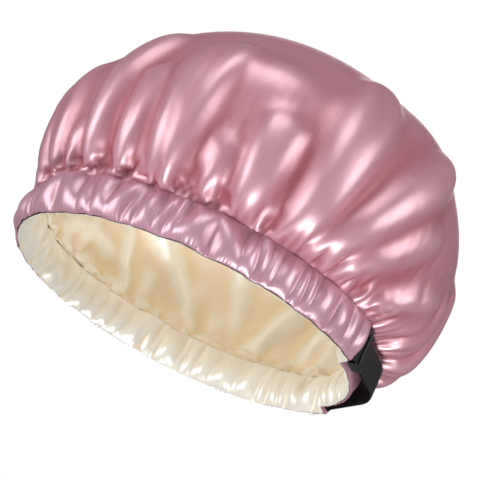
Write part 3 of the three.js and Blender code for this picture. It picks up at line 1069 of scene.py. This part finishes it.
# Lining casing
# The ivory wall of the tunnel, on the side of the head: a strip as full as the pink one, gathered
# between the same two lines of stitches, so that its pleats stand in towards the opening.
lining_height = 0.0283
lining_rows = (
    0, 0.0018, 0.0040, 0.0064, 0.0090, 0.0116, 0.0142, 0.0168, 0.0194, 0.0220, 0.0246, 0.0268,
    lining_height,
)
lining_least = 0.0002
lining_most = 0.0095
lining_puff_shares = (0.08, 0.92)
lining_casing = casing_strip("lining_casing_satin", lining_rows, casing_fullness)
flat = places_of(lining_casing)
angle, height = np.arctan2(flat[1], flat[0]), flat[2]
up_share = height / lining_height
puff = puff_heights(lining_puffs, angle, np.interp(up_share, (0, 1), lining_puff_shares))
offset = lining_offset(angle) - lining_stand_in - puff
hem_row = height < row_reach
seam_row = height > lining_height - row_reach
offset = np.where(hem_row, hem_line(angle) - hem_gap, offset)
seam_offset = lining_offset(angle) - lining_stand_in + lining_seam_puff(angle)
offset = np.where(seam_row, seam_offset, offset)
drawn = band_places(angle, offset, height)
hem_lift = hem_lift_share * puff_heights(outer_puffs, angle, up_share)
drawn[2] = np.where(hem_row, hem_height_least + hem_lift, drawn[2])
loose = band_places(angle, -lining_stand_in, height)
loose[:2] *= casing_fullness
hold = np.where(seam_row | hem_row, 1, casing_hold)
draw_in(lining_casing, loose, drawn, hold, casing_bending, -casing_pressure, casing_steps)
ease(lining_casing, np.minimum(up_share, 1 - up_share), casing_ease)
keep_between(
    lining_casing,
    lambda angle, height: lining_offset(angle) - lining_most,
    lambda angle, height: lining_offset(angle) - lining_least,
)
lining_casing.data.flip_normals()
mark_relief(lining_casing, times=12, full=0.0014)
thicken(lining_casing, casing_wall, -1)
lining_casing.data.materials.append(ivory_satin)
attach(lining_casing, "bonnet")
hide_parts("lining_casing")

# Elastic and adjuster strap
# One length of flat black woven elastic, 20 mm wide. It runs in the tunnel round the front and
# sides, comes out of the slits and crosses the nape, and its free end lies doubled behind it.
elastic_width = 0.020
elastic_thickness = 0.0012
elastic_base = 0.0035
elastic_middle = 0.0009
strap_overlap = 0.0075
strap_stand_off = 0.0022
strap_bend_half_width = 0.014
tail_start = 0.005
tail_end_room = 0.0014
tail_middle = 0.0015
strap_tunnel_steps = 8
strap_straight_steps = 24
strap_bend_steps = 28
tail_steps = 30
strip_sides = 20
strip_edge_power = 0.35
strip_face_power = 0.8
elastic_ribs = 2800
elastic_roughness = 0.62
elastic_dark = (0.004, 0.005, 0.006, 1)
elastic_bright = (0.016, 0.018, 0.019, 1)
strap_leave = Vector(rim_point(-slit_angle, elastic_middle))
strap_bend_start = Vector((rim_length / 2 + strap_stand_off, -strap_bend_half_width))
strap_along = (strap_bend_start - strap_leave).normalized()
strap_straight = (strap_bend_start - strap_leave).length
strap_bend_radius = strap_bend_half_width / strap_along.x
strap_bend_angle = math.asin(strap_along.x)
meet_angle = slit_angle + strap_overlap / rim_pace(slit_angle)


def strap_line():
    """The line that the middle of the strap follows in plan, from one tunnel to the other."""
    tunnel = np.linspace(-meet_angle, -slit_angle, strap_tunnel_steps)[:-1]
    half = [Vector(rim_point(angle, elastic_middle)) for angle in tunnel]
    straight = np.linspace(0, 1, strap_straight_steps)
    half += [strap_leave.lerp(strap_bend_start, share) for share in straight]
    centre = strap_bend_start.x - strap_bend_radius * math.cos(strap_bend_angle)
    bend = [
        Vector((centre + strap_bend_radius * math.cos(t), strap_bend_radius * math.sin(t)))
        for t in np.linspace(-strap_bend_angle, strap_bend_angle, strap_bend_steps)[1:-1]
    ]
    return half + bend + [Vector((spot.x, -spot.y)) for spot in reversed(half)]


def on_strap(x, y):
    """A point of the plan from its place along the straight of the strap, and towards the head."""
    return strap_leave + strap_along * x + Vector((-strap_along.y, strap_along.x)) * y


def woven_strip(name, line, width, thickness, base):
    """A flat strip on its edge: a rounded section, drawn along a line in plan and closed."""
    strip = bmesh.new()
    bmesh.ops.create_circle(strip, segments=strip_sides, radius=1)
    for vert in strip.verts:
        turn = math.atan2(vert.co.y, vert.co.x)
        flat_x = math.copysign(abs(math.cos(turn)) ** strip_edge_power, math.cos(turn))
        flat_y = math.copysign(abs(math.sin(turn)) ** strip_face_power, math.sin(turn))
        vert.co = (0, flat_y * thickness / 2, base + width / 2 + flat_x * width / 2)
    frames = []
    run = [0.0]
    for number, spot in enumerate(line):
        before, after = line[max(number - 1, 0)], line[min(number + 1, len(line) - 1)]
        heading = math.atan2(after.y - before.y, after.x - before.x)
        frames.append(Matrix.Translation((spot.x, spot.y, 0)) @ Matrix.Rotation(heading, 4, "Z"))
        if number:
            run.append(run[-1] + (spot - line[number - 1]).length)
    bmesh.ops.transform(strip, matrix=frames[0], verts=strip.verts)
    edge = list(strip.edges)
    for number in range(1, len(frames)):
        verts, edge = grown_edge(strip, edge)
        bmesh.ops.transform(strip, matrix=frames[number] @ frames[number - 1].inverted(), verts=verts)
    bmesh.ops.holes_fill(strip, edges=[e for e in strip.edges if e.is_boundary], sides=0)
    bmesh.ops.recalc_face_normals(strip, faces=strip.faces)
    strip = in_order(strip)
    cut = strip.loops.layers.uv.new("cut")
    spots = np.array([(spot.x, spot.y) for spot in line])
    for face in strip.faces:
        for loop in face.loops:
            place = np.array(loop.vert.co.xy)
            nearest = int(np.argmin(np.hypot(*(spots - place).T)))
            loop[cut].uv = (run[nearest], loop.vert.co.z)
    return finished(name, strip)


woven_elastic, given, puts_out = new_effect(
    "woven_elastic",
    (("Cut", "NodeSocketVector"), ("Ribs", "NodeSocketFloat")),
    (("Height", "NodeSocketFloat"), ("Thread", "NodeSocketFloat")),
)
nodes, links = woven_elastic.nodes, woven_elastic.links
apart = nodes.new("ShaderNodeSeparateXYZ")
links.new(given.outputs["Cut"], apart.inputs["Vector"])
along = combine(nodes, links, "MULTIPLY", apart.outputs["X"], given.outputs["Ribs"])
across = combine(nodes, links, "MULTIPLY", apart.outputs["Y"], given.outputs["Ribs"])
ribs = combine(nodes, links, "ABSOLUTE", combine(nodes, links, "SINE", across, 0), 0)
pick_waves = combine(nodes, links, "SINE", combine(nodes, links, "MULTIPLY", along, 1.4), 0)
picks = combine(nodes, links, "ABSOLUTE", pick_waves, 0)
braid = combine(nodes, links, "MULTIPLY", ribs, spread(nodes, links, picks, 0, 1, 0.55, 1))
fuzz = noise(nodes, links, given.outputs["Cut"], scale=900, detail=2)
height = combine(nodes, links, "ADD", braid, combine(nodes, links, "MULTIPLY", fuzz, 0.25))
links.new(height, puts_out.inputs["Height"])
thread = combine(nodes, links, "MULTIPLY", braid, spread(nodes, links, fuzz, 0.3, 0.7, 0.6, 1))
links.new(thread, puts_out.inputs["Thread"])


def black_weave(nodes, links, shader, pattern_place):
    """The black threads of the elastic, on the given place of the pattern."""
    weave = place_effect(nodes, links, woven_elastic, pattern_place, Ribs=elastic_ribs)
    colour = blend_colour(nodes, links, weave.outputs["Thread"], elastic_dark, elastic_bright)
    links.new(colour, shader.inputs["Base Color"])
    shader.inputs["Roughness"].default_value = elastic_roughness
    return weave


black_elastic, nodes, links, shader = new_material("black_elastic")
weave = black_weave(nodes, links, shader, cut_place(nodes))
raise_surface(nodes, links, weave.outputs["Height"], 0.6, 0.0002, shader)
shader.inputs["Specular IOR Level"].default_value = 0.4
strap = woven_strip("adjuster_strap_elastic", strap_line(), elastic_width, elastic_thickness, elastic_base)
strap.data.materials.append(black_elastic)
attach(strap, "bonnet")
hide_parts("adjuster_strap")
tail_run = np.linspace(tail_start, strap_straight - tail_end_room, tail_steps)
tail_line = [on_strap(x, tail_middle) for x in tail_run]
tail = woven_strip("strap_tail_elastic", tail_line, elastic_width, elastic_thickness, elastic_base)
tail.data.materials.append(black_elastic)
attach(tail, "bonnet")
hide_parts("strap_tail")

tunnel_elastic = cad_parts["elastic_band"]
hidden_elastic, nodes, links, shader = new_material("tunnel_elastic")
place = nodes.new("ShaderNodeTexCoord")
black_weave(nodes, links, shader, place.outputs["Object"])
tunnel_elastic.data.materials.clear()
tunnel_elastic.data.materials.append(hidden_elastic)

# Slide
# The adjuster that sets the strap's length: one moulding of glossy black plastic, with two rails
# past the strap's edges, a bar in front of it and two behind, and softly rounded edges.
slide_edge = 0.00035
slide_weld = 0.00001
slide_flat_angle = math.radians(3)
slide_corner_angle = math.radians(25)
plastic_dark = (0.010, 0.011, 0.012, 1)
plastic_bright = (0.020, 0.022, 0.023, 1)
slide_shape = bmesh.new()
slide_shape.from_mesh(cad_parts["slide"].data)
bmesh.ops.remove_doubles(slide_shape, verts=slide_shape.verts, dist=slide_weld)
bmesh.ops.dissolve_limit(
    slide_shape, angle_limit=slide_flat_angle, verts=slide_shape.verts, edges=slide_shape.edges
)
corners = [e for e in slide_shape.edges if e.calc_face_angle(0) > slide_corner_angle]
bmesh.ops.bevel(
    slide_shape,
    geom=corners,
    offset=slide_edge,
    offset_type="OFFSET",
    affect="EDGES",
    segments=3,
    profile=0.5,
    material=-1,
)
slide = finished("slide_plastic", slide_shape)
black_plastic, nodes, links, shader = new_material("black_plastic")
place = nodes.new("ShaderNodeTexCoord")
grain = noise(nodes, links, place.outputs["Object"], scale=1400, detail=3)
rub = noise(nodes, links, place.outputs["Object"], scale=260, detail=2)
plastic_tone = blend_colour(nodes, links, rub, plastic_dark, plastic_bright)
links.new(plastic_tone, shader.inputs["Base Color"])
links.new(spread(nodes, links, rub, 0.3, 0.7, 0.22, 0.36), shader.inputs["Roughness"])
raise_surface(nodes, links, grain, 0.2, 0.00005, shader)
slide.data.materials.append(black_plastic)
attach(slide, "slide")
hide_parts("slide")

# Stitches
# Lockstitch in matching thread: one line where the crown joins the band, and one along the hem.
# Each stitch sinks at its ends. The slits and the tail's cut end have bars of close stitches.
stitch_length = 0.0024
stitch_pitch = 0.0031
stitch_size = 0.0005
stitch_segments = 8
stitch_rings = 6
stitch_sight_share = 0.35
seam_thread_height = 0.0265
hem_thread_height = 0.0014
sight_start = 0.012
plain_wall_clear = 0.001
skin_depth = 0.0001


def stitches(name, places):
    """A row of stitches: each is a small spindle of thread with its own middle and direction."""
    row = bmesh.new()
    for middle, along, out, length, size in places:
        across = out.cross(along).normalized()
        axes = Matrix((along.normalized() * length / 2, across * size / 2, out.normalized() * size / 2))
        spot = Matrix.Translation(middle) @ axes.transposed().to_4x4() @ Matrix.Rotation(math.pi / 2, 4, "Y")
        bmesh.ops.create_uvsphere(
            row, u_segments=stitch_segments, v_segments=stitch_rings, radius=1, matrix=spot
        )
    bmesh.ops.recalc_face_normals(row, faces=row.faces)
    return finished(name, row)


def sewn_spot(skin, angle, height):
    """The place on a casing's outside at an angle and a height, and the way out of it."""
    normal = rim_normal(angle)
    out = Vector((normal[0], normal[1], 0))
    far = rim_point(angle, sight_start)
    hit = skin.ray_cast(Vector((far[0], far[1], height)), -out)[0]
    if hit is None:
        near = rim_point(angle, wall_offset(angle) + plain_wall_clear)
        hit = Vector((near[0], near[1], height))
    return hit + out * skin_depth, out


def stitch_line(skin, height):
    places = []
    angle = 0.0
    while angle < 2 * math.pi - stitch_pitch / 2 / rim_pace(0):
        step = stitch_pitch / float(rim_pace(angle))
        middle, out = sewn_spot(skin, angle, height)
        before, _ = sewn_spot(skin, angle - step * stitch_sight_share, height)
        after, _ = sewn_spot(skin, angle + step * stitch_sight_share, height)
        places.append((middle, after - before, out, stitch_length, stitch_size))
        angle += step
    return places


def sewing_thread(name, colour, bright):
    thread, nodes, links, shader = new_material(name)
    place = nodes.new("ShaderNodeTexCoord")
    twist = noise(nodes, links, place.outputs["Object"], scale=2600, detail=1)
    links.new(blend_colour(nodes, links, twist, colour, bright), shader.inputs["Base Color"])
    raise_surface(nodes, links, twist, 0.4, 0.00008, shader)
    shader.inputs["Roughness"].default_value = 0.45
    return thread


pink_thread = sewing_thread("pink_thread", (0.40, 0.17, 0.23, 1), (0.62, 0.34, 0.42, 1))
black_thread = sewing_thread("black_thread", (0.012, 0.012, 0.013, 1), (0.035, 0.035, 0.037, 1))
finished_casing = outer_casing.evaluated_get(bpy.context.evaluated_depsgraph_get())
casing_skin = skin_of(finished_casing.to_mesh())
for name, node, height in (
    ("seam_stitches", "seam_thread", seam_thread_height),
    ("hem_stitches", "hem_thread", hem_thread_height),
):
    row = stitches(name, stitch_line(casing_skin, height))
    row.data.materials.append(pink_thread)
    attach(row, "bonnet")
    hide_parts(node)

tack_count = 13
tack_length = 0.0016
tack_lean = 0.0002
upper_tack_height = 0.02485
lower_tack_height = 0.0025
for side, side_name in ((-1, "left"), (1, "right")):
    for level, middle_height in (("upper", upper_tack_height), ("lower", lower_tack_height)):
        angles = np.linspace(slit_angle - ramp_angle, slit_angle, tack_count) * side
        places = []
        for number, angle in enumerate(angles):
            middle, out = sewn_spot(casing_skin, angle, middle_height)
            lean = Vector((-out.y, out.x, 0)) * (tack_lean if number % 2 else -tack_lean)
            places.append((middle, Vector((0, 0, tack_length)) + lean, out, tack_length, stitch_size))
        tack = stitches(f"{side_name}_{level}_tack_stitches", places)
        tack.data.materials.append(pink_thread)
        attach(tack, "bonnet")
        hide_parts(f"{side_name}_{level}_bartack")

tail_tack_count = 24
tail_tack_edge = 0.0012
tail_tack_margin = 0.003
tail_tack_width = 0.014
tail_tack_slope = 0.3
tail_tack_reach = tail_middle + elastic_thickness / 2 + stitch_size / 3
inward = Vector((-strap_along.y, strap_along.x, 0))
tack_spots = []
spot = on_strap(strap_straight - tail_end_room - tail_tack_edge, tail_tack_reach)
for number in range(tail_tack_count):
    height = elastic_base + tail_tack_margin + tail_tack_width * number / (tail_tack_count - 1)
    tack_spots.append((
        Vector((spot.x, spot.y, height)),
        Vector((strap_along.x, strap_along.y, tail_tack_slope if number % 2 else -tail_tack_slope)),
        inward,
        tack_length,
        stitch_size,
    ))
tail_tack = stitches("tail_tack_stitches", tack_spots)
tail_tack.data.materials.append(black_thread)
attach(tail_tack, "bonnet")
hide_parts("tail_bartack")

# Floor and lights
# A pale floor that is seen only from above, because the photograph looks up from below the hem. Soft
# lamps stand to the left, to the right, above and behind, and give satin its bright slopes. Two more
# light the lining, one from below the hem and one just inside it.
floor_radius = 3
floor_sides = 96
floor_shape = bmesh.new()
bmesh.ops.create_circle(floor_shape, cap_ends=True, segments=floor_sides, radius=floor_radius)
floor = finished("floor", floor_shape)
floor_paint, nodes, links, paint = new_material("floor_paint")
paint.inputs["Base Color"].default_value = (0.92, 0.92, 0.92, 1)
paint.inputs["Roughness"].default_value = 0.9
clear = nodes.new("ShaderNodeBsdfTransparent")
path = nodes.new("ShaderNodeLightPath")
side = nodes.new("ShaderNodeNewGeometry")
front = combine(nodes, links, "SUBTRACT", 1, side.outputs["Backfacing"])
seen = combine(nodes, links, "MULTIPLY", path.outputs["Is Camera Ray"], front)
mix = nodes.new("ShaderNodeMixShader")
links.new(seen, mix.inputs["Fac"])
links.new(clear.outputs["BSDF"], mix.inputs[1])
links.new(paint.outputs["BSDF"], mix.inputs[2])
links.new(mix.outputs["Shader"], nodes["Material Output"].inputs["Surface"])
floor.data.materials.append(floor_paint)

lamp_distance = 0.9
lamp_aim = Vector((0, 0, 0.09))
room_light = 0.15


def soft_lamp(name, place, size, power):
    data = bpy.data.lights.new(name, "AREA")
    data.shape = "DISK"
    data.size = size
    data.energy = power
    lamp = bpy.data.objects.new(name, data)
    bpy.context.scene.collection.objects.link(lamp)
    lamp.location = place
    lamp.rotation_euler = (place - lamp_aim).to_track_quat("Z", "Y").to_euler()
    lamp.visible_camera = False


def around_view(towards):
    """A lamp's place, from its direction to the right, up and towards the camera."""
    return camera_axes @ Vector(towards).normalized() * lamp_distance + lamp_aim


soft_lamp("left_lamp", around_view((-0.85, 0.35, 0.55)), 0.7, 5.1)
soft_lamp("right_lamp", around_view((0.9, 0.1, 0.5)), 0.6, 4.2)
soft_lamp("top_lamp", around_view((0.15, 0.9, 0.40)), 0.6, 3.2)
soft_lamp("back_lamp", around_view((0.1, 0.1, -1)), 0.8, 4.0)
soft_lamp("opening_lamp", Vector((0.2, -0.18, -0.55)), 0.25, 3.0)
soft_lamp("inner_lamp", Vector((0.01, 0, 0.025)), 0.09, 0.05)
world = bpy.data.worlds.new("studio")
bpy.context.scene.world = world
world.use_nodes = True
nodes, links = world.node_tree.nodes, world.node_tree.links
nodes["Background"].inputs["Color"].default_value = (1, 1, 1, 1)
path = nodes.new("ShaderNodeLightPath")
strength = spread(nodes, links, path.outputs["Is Camera Ray"], 0, 1, room_light, 1)
links.new(strength, nodes["Background"].inputs["Strength"])
